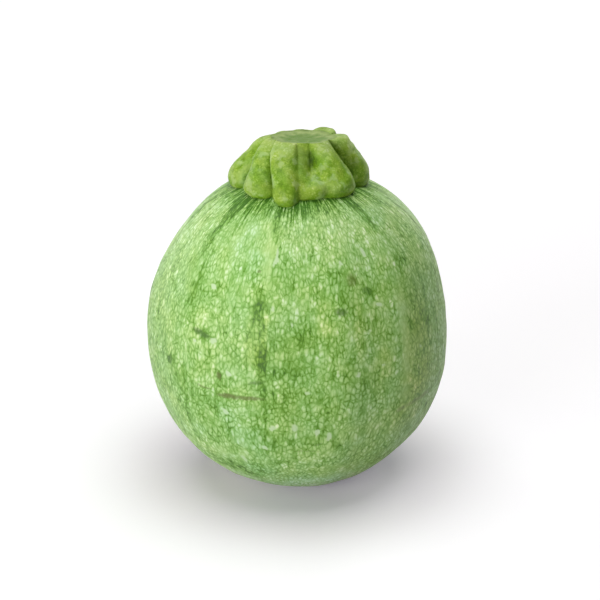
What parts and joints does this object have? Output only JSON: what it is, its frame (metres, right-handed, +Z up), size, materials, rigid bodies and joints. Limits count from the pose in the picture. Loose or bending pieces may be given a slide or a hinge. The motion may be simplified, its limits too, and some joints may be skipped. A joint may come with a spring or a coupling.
{
  "type": "round zucchini",
  "caption": "Whole round zucchini with a cut, ridged stem stub, as picked, standing on its blossom end.",
  "frame": {"origin": "centre of the flat patch at the blossom end that the fruit stands on", "axes": "+Z up through the fruit to its stem, -Y towards the front, +X to the right seen from the front"},
  "size_m": [0.0817, 0.0814, 0.0967],
  "materials": {
    "fruit_skin": "satin",
    "stem_rind": "satin"
  },
  "bodies": {
    "root": {"fruit": "fruit_skin", "stem": "stem_rind"}
  },
  "joints": []
}
